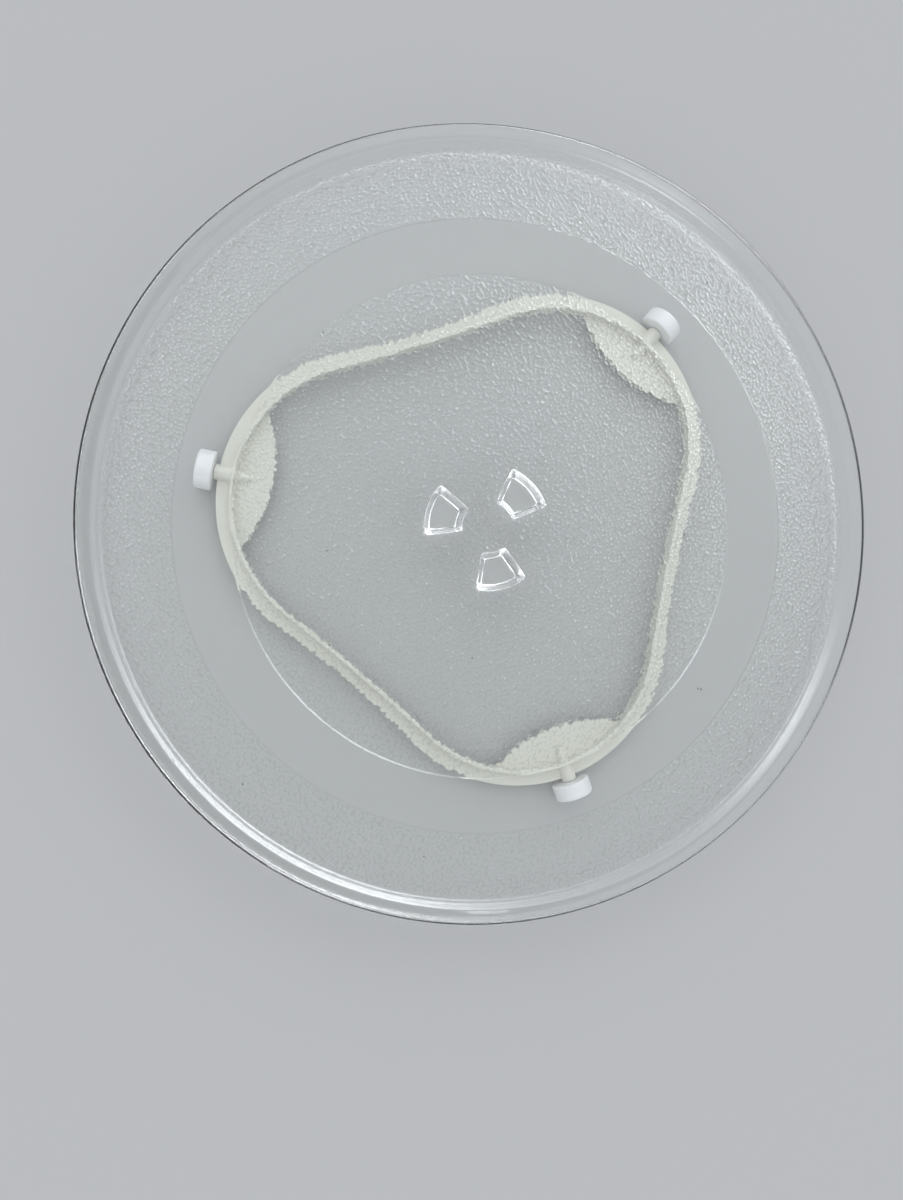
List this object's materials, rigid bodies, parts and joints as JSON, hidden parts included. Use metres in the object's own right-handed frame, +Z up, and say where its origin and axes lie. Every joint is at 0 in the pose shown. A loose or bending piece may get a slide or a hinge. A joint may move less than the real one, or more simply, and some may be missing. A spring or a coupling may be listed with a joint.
{
  "type": "microwave turntable plate",
  "caption": "Round clear glass turntable plate with a stepped rim and drive lugs under its middle, riding on a lobed plastic roller ring with roller wheels.",
  "frame": {"origin": "on the plate's turning axis, at the level of the floor that the wheels roll on", "axes": "+Z up along the turning axis; +X along the first lobe of the roller ring"},
  "size_m": [0.284, 0.284, 0.0236],
  "materials": {
    "clear_glass": "clear pressed glass, stippled underneath",
    "cream_plastic": "moulded, satin",
    "white_plastic": "moulded, smooth"
  },
  "bodies": {
    "ring": {"roller_ring": "cream_plastic"},
    "plate": {"glass_plate": "clear_glass"},
    "wheel_1": {"roller_wheel_1": "white_plastic"},
    "wheel_2": {"roller_wheel_2": "white_plastic"},
    "wheel_3": {"roller_wheel_3": "white_plastic"}
  },
  "joints": [
    {"name": "plate_turn", "type": "hinge", "parent": "ring", "child": "plate", "pos_m": [0, 0, 0.01415], "axis": [0, 0, 1], "continuous": true},
    {"name": "wheel_1_roll", "type": "hinge", "parent": "ring", "child": "wheel_1", "pos_m": [0.1025, 0, 0.007], "axis": [1, 0, 0], "continuous": true},
    {"name": "wheel_2_roll", "type": "hinge", "parent": "ring", "child": "wheel_2", "pos_m": [-0.05125, 0.08877, 0.007], "axis": [-0.5, 0.866, 0], "continuous": true},
    {"name": "wheel_3_roll", "type": "hinge", "parent": "ring", "child": "wheel_3", "pos_m": [-0.05125, -0.08877, 0.007], "axis": [-0.5, -0.866, 0], "continuous": true}
  ],
  "couplings": [
    {"joint": "wheel_1_roll", "follows": "plate_turn", "ratio": -14.643},
    {"joint": "wheel_2_roll", "follows": "plate_turn", "ratio": -14.643},
    {"joint": "wheel_3_roll", "follows": "plate_turn", "ratio": -14.643}
  ]
}
